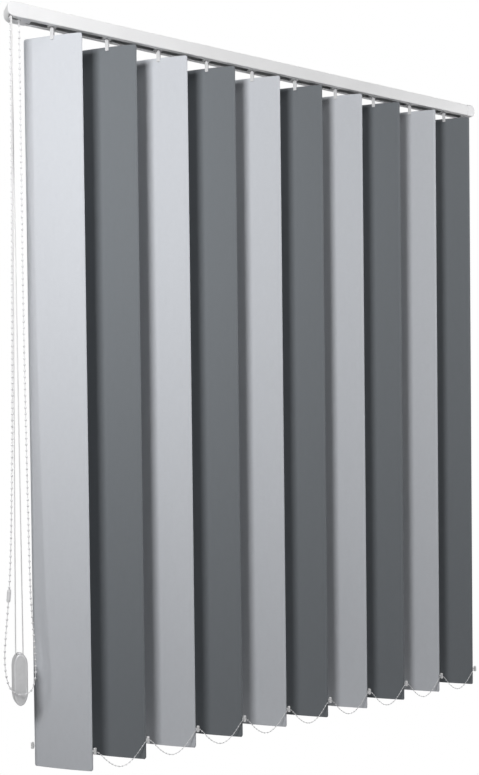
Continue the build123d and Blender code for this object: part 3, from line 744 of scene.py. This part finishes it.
def bead_chain_route():
    """The control chain's route: from its connector round the bottom, up, over the sprocket and down."""
    left = CONTROL_X - CHAIN_RADIUS
    right = CONTROL_X + CHAIN_RADIUS
    y = SPROCKET_Y
    return [
        (left - 23.3, -15.2, -1155.8),
        (left - 28, -17.5, -1200.0),
        (left - 34, -22.0, -1250.0),
        (left - 35.5, -26.0, -1290.0),
        (left - 30, -29.0, -1324.0),
        (left - 16, -30.0, -1341.0),
        (left + 2, -30.0, -1346.0),
        (left + 16, -30.0, -1339.0),
        (left + 22.6, -30.0, -1316.0),
        (left + 22.8, -30.0, -1284.0),
        (left + 21.4, -28.0, -1241.0),
        (left + 18.6, -25.0, -1192.0),
        (right - 0.4, -22.0, -1134.0),
        (right - 0.6, -14.0, -929.0),
        (right - 1.2, -6.0, -600.0),
        (right, y, -300.0),
        (right, y, AXLE_Z - 40.0),
        (right, y, AXLE_Z + CHAIN_RADIUS),
        (left, y, AXLE_Z + CHAIN_RADIUS),
        (left, y, AXLE_Z - 40.0),
        (left - 2, y, -382.0),
        (left - 5.5, y - 2, -577.0),
        (left - 10.6, y - 6, -869.0),
        (left - 18.4, y - 10, -1102.0),
        (left - 22.8, -14.8, -1148.2),
    ]


class BLIND_OT_bead_chain(bpy.types.Operator):
    """Make the control chain's beads on their string, and finish its connector"""

    bl_idname = "blind.bead_chain"
    bl_label = "Bead chain"

    def execute(self, context):
        sizes = context.scene.blind_sizes
        chain, line = beaded_chain(
            "bead_chain_beads", bead_chain_route(), sizes.bead_pitch, sizes.bead, string=0.0014, first=0.006
        )
        dress("chain_connector", "cap_white")
        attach(chain, "frame")
        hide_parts("bead_chain")
        line_length(line)
        return {"FINISHED"}


def draw_cord_route():
    """The draw cord's route: from the lead carrier over a wheel, round the weight's wheel,
    over the other wheel and back round the idle end."""
    front, rear, inner = FRONT_CORD_Y, REAR_CORD_Y, INNER_CORD_Y
    middle = (front + rear) / 2
    out = CONTROL_X - CORD_WHEEL_RADIUS
    over = 2 * CORD_WHEEL_RADIUS
    left = WEIGHT_X - WEIGHT_WHEEL_RADIUS
    right = WEIGHT_X + WEIGHT_WHEEL_RADIUS
    wheel_top = WEIGHT_WHEEL_Z + WEIGHT_WHEEL_RADIUS
    wheel_foot = WEIGHT_WHEEL_Z - WEIGHT_WHEEL_RADIUS
    below_cap = -60.5
    above_weight = -1227.0
    grip = -FIRST_VANE_X - 18.0 / 4
    leave = CONTROL_X + 14
    slant = leave + (FIRST_VANE_X - 9 - 1 - leave) / 1.45
    near = RETURN_X - RETURN_WHEEL_RADIUS
    far = RETURN_X + RETURN_WHEEL_RADIUS
    return [
        (grip - 1, front, CORD_Z),
        (out + over, front, CORD_Z),
        (out, front, CORD_Z),
        (out, front, CORD_Z - over),
        (out, front, below_cap),
        (left, middle, above_weight),
        (left, middle, wheel_top),
        (left, middle, wheel_foot),
        (right, middle, wheel_foot),
        (right, middle, wheel_top),
        (right, middle, above_weight),
        (out, rear, below_cap),
        (out, rear, CORD_Z - over),
        (out, rear, CORD_Z),
        (out + over, rear, CORD_Z),
        (leave, rear, CORD_Z),
        (slant, inner, CORD_Z),
        (near, inner, CORD_Z),
        (far, inner, CORD_Z),
        (far, front, CORD_Z),
        (near, front, CORD_Z),
        (grip + 1, front, CORD_Z),
    ]


class BLIND_OT_draw_cord(bpy.types.Operator):
    """Make the draw cord, and finish its weight and the weight's wheel"""

    bl_idname = "blind.draw_cord"
    bl_label = "Draw cord and weight"

    def execute(self, context):
        sizes = context.scene.blind_sizes
        cord = route_curve("draw_cord_braid", draw_cord_route())
        line = route_line(cord)
        cord.data.bevel_depth = sizes.cord / 2
        cord.data.bevel_resolution = 2
        cord.data.use_fill_caps = True
        cord.data.materials.append(finishes()["cord_white"])
        weight = ["cord_weight_front", "cord_weight_rear"]
        for node in weight:
            dress(node, "weight_grey")
        dress("cord_weight_wheel", "gear_white")
        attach(cord, "frame")
        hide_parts("draw_cord")
        line_length(line)
        return {"FINISHED"}


# Rail, running gear and hardware


class BLIND_OT_headrail(bpy.types.Operator):
    """Finish the headrail, its end caps and its ceiling clips"""

    bl_idname = "blind.headrail"
    bl_label = "Headrail"

    def execute(self, context):
        dress("headrail", "rail_white")
        dress("mounting_clips", "clip_steel")
        for node in ("control_end_cap", "idle_end_cap"):
            dress(node, "cap_white")
        return {"FINISHED"}


class BLIND_OT_running_gear(bpy.types.Operator):
    """Finish the carriers, hooks, rod and wheels"""

    bl_idname = "blind.running_gear"
    bl_label = "Running gear"

    def execute(self, context):
        for name in NAMES:
            dress(f"carrier_{name}", "gear_white")
            dress(f"hook_{name}", "gear_white")
            dress(f"bottom_weight_{name}", "ballast_white")
        dress("tilt_rod", "rod_metal")
        wheels = "rod_bevel_wheel", "chain_sprocket", "front_cord_wheel", "rear_cord_wheel", "return_wheel"
        for node in wheels:
            dress(node, "gear_white")
        for node in ("control_axle", "return_axle"):
            dress(node, "axle_steel")
        return {"FINISHED"}


# Floor, light and camera


# Name, place, aim, side and power of each lamp
LAMPS = (
    ("key", (-1.52, -1.32, -0.02), (-0.1, 0.0, -0.45), 0.45, 26.0),
    ("fill", (-0.3, -2.0, 2.0), (0.0, 0.0, -0.2), 1.0, 12.0),
    ("back", (0.6, 2.6, 0.4), (0.0, 0.0, -0.5), 1.6, 14.0),
    ("side", (1.9, -1.5, 0.3), (0.9, 0.0, 0.0), 0.4, 17.5),
)
FLOOR_LEVEL = -2.4
FLOOR_HALF = 14.0
# The floor is a mix of its own shade and plain white, all white beyond the second distance
FADE_START, FADE_END, NEAR_WHITE = 2.5, 3.0, 0.72
AMBIENT = 0.045
# The photograph's camera: place in metres, angles in degrees, lengths in pixels
CAMERA_PLACE = (-1.0059, -1.6336, -0.7989)
CAMERA_AZIMUTH, CAMERA_PITCH, CAMERA_ROLL = 61.0005, -0.9875, -0.6506
FOCAL_LENGTH, RISE, LONG_SIDE = 828.34, 37.91, 775.0
SENSOR_WIDTH = 36.0


def add_lamp(name, place, target, size, power):
    """A square area lamp aimed at a point."""
    light = bpy.data.lights.new(name, "AREA")
    light.shape = "RECTANGLE"
    light.size = light.size_y = size
    light.energy = power
    made = bpy.data.objects.new(name, light)
    bpy.context.scene.collection.objects.link(made)
    made.location = place
    made.rotation_mode = "QUATERNION"
    made.rotation_quaternion = (Vector(target) - Vector(place)).to_track_quat("-Z", "Y")


def looking_rays(tree):
    """1 for rays from the camera, off gloss and through glass, and 0 for the rays that light things."""
    path = tree.nodes.new("ShaderNodeLightPath")
    names = ("Is Camera Ray", "Is Glossy Ray", "Is Transmission Ray")
    camera_ray, glossy_ray, through_ray = (Value(tree, path.outputs[name]) for name in names)
    return (camera_ray + glossy_ray + through_ray).math("MINIMUM", 1.0)


def pale_floor(scene):
    """A floor that keeps a soft shadow near the blind and fades to the backdrop's white."""
    mesh = bpy.data.meshes.new("floor")
    half, level = FLOOR_HALF, FLOOR_LEVEL
    corners = [(-half, -half, level), (half, -half, level), (half, half, level), (-half, half, level)]
    mesh.from_pydata(corners, [], [(0, 1, 2, 3)])
    floor = bpy.data.objects.new("floor", mesh)
    scene.collection.objects.link(floor)
    pale = Finish("floor_pale", Roughness=0.9, Specular_IOR_Level=0.1)
    speckle = pale.noise(pale.place(), 6.0, 3.0, 0.6)
    pale.feed("Base Color", pale.tint(speckle, (0.90, 0.90, 0.90), (0.93, 0.93, 0.93)))
    seen = looking_rays(pale.tree)
    distance = pale.node("ShaderNodeVectorMath", {"operation": "LENGTH"}, {"Vector": pale.place()}, "Value")
    far = distance.ramp(FADE_START, FADE_END)
    white = pale.node("ShaderNodeEmission", inputs={"Color": (1, 1, 1, 1), "Strength": 1.0})
    blend = pale.node("ShaderNodeMixShader", inputs={"Fac": seen * (far * (1.0 - NEAR_WHITE) + NEAR_WHITE)})
    mixer = blend.socket.node
    plug(pale.tree, mixer.inputs[1], pale.shader.outputs["BSDF"])
    plug(pale.tree, mixer.inputs[2], white)
    end = [node for node in pale.tree.nodes if node.type == "OUTPUT_MATERIAL"][0]
    plug(pale.tree, end.inputs["Surface"], blend)
    mesh.materials.append(pale.material)


def studio_world(scene):
    """A world that looks white and lights only a little."""
    world = bpy.data.worlds.new("Studio")
    scene.world = world
    world.use_nodes = True
    tree = world.node_tree
    tree.nodes.clear()
    strength = looking_rays(tree) * (1.0 - AMBIENT) + AMBIENT
    background = add_node(tree, "ShaderNodeBackground", inputs={"Color": (1, 1, 1, 1), "Strength": strength})
    end = tree.nodes.new("ShaderNodeOutputWorld")
    plug(tree, end.inputs["Surface"], background)


def photo_camera(scene):
    """The camera at the photograph's place, fitted to the corners of the vanes and the rail."""
    azimuth, pitch, roll = (math.radians(angle) for angle in (CAMERA_AZIMUTH, CAMERA_PITCH, CAMERA_ROLL))
    forward = Vector(
        (math.cos(azimuth) * math.cos(pitch), math.sin(azimuth) * math.cos(pitch), math.sin(pitch))
    )
    right = Vector((math.sin(azimuth), -math.cos(azimuth), 0.0))
    up = right.cross(forward)
    rolled_right = math.cos(roll) * right + math.sin(roll) * up
    rolled_up = -math.sin(roll) * right + math.cos(roll) * up
    data = bpy.data.cameras.new("photo camera")
    data.sensor_width = SENSOR_WIDTH
    data.lens = FOCAL_LENGTH * SENSOR_WIDTH / LONG_SIDE
    data.shift_y = RISE / LONG_SIDE
    data.clip_start = 0.05
    data.clip_end = 60.0
    camera = bpy.data.objects.new("photo camera", data)
    scene.collection.objects.link(camera)
    turn = Matrix((rolled_right, rolled_up, -forward)).transposed()
    camera.matrix_world = Matrix.Translation(CAMERA_PLACE) @ turn.to_4x4()
    scene.camera = camera


class BLIND_OT_stage(bpy.types.Operator):
    """Set the floor, the soft light and the camera"""

    bl_idname = "blind.stage"
    bl_label = "Stage"

    def execute(self, context):
        scene = context.scene
        scene.view_settings.view_transform = "Standard"
        pale_floor(scene)
        studio_world(scene)
        for settings in LAMPS:
            add_lamp(*settings)
        photo_camera(scene)
        return {"FINISHED"}


# Panel and registration

OPERATORS = (
    BLIND_OT_stage,
    BLIND_OT_bead_chain,
    BLIND_OT_draw_cord,
    BLIND_OT_bottom_chains,
    BLIND_OT_vanes,
    BLIND_OT_headrail,
    BLIND_OT_running_gear,
)


class BLIND_PT_panel(bpy.types.Panel):
    """Lists the blind's pieces and sizes"""

    bl_label = "Vertical blind"
    bl_idname = "BLIND_PT_panel"
    bl_space_type = "VIEW_3D"
    bl_region_type = "UI"
    bl_category = "Blind"

    def draw(self, context):
        for operator in OPERATORS:
            self.layout.operator(operator.bl_idname)
        for group in (context.scene.blind_sizes, context.scene.blind_colours):
            for name in group.__annotations__:
                self.layout.prop(group, name)


CLASSES = (BlindSizes, BlindColours, *OPERATORS, BLIND_PT_panel)


def register():
    for item in CLASSES:
        bpy.utils.register_class(item)
    bpy.types.Scene.blind_sizes = bpy.props.PointerProperty(type=BlindSizes)
    bpy.types.Scene.blind_colours = bpy.props.PointerProperty(type=BlindColours)


def unregister():
    del bpy.types.Scene.blind_colours
    del bpy.types.Scene.blind_sizes
    for item in reversed(CLASSES):
        bpy.utils.unregister_class(item)


def main():
    register()
    for operator in OPERATORS:
        group, name = operator.bl_idname.split(".")
        getattr(getattr(bpy.ops, group), name)()


if __name__ == "__main__":
    main()
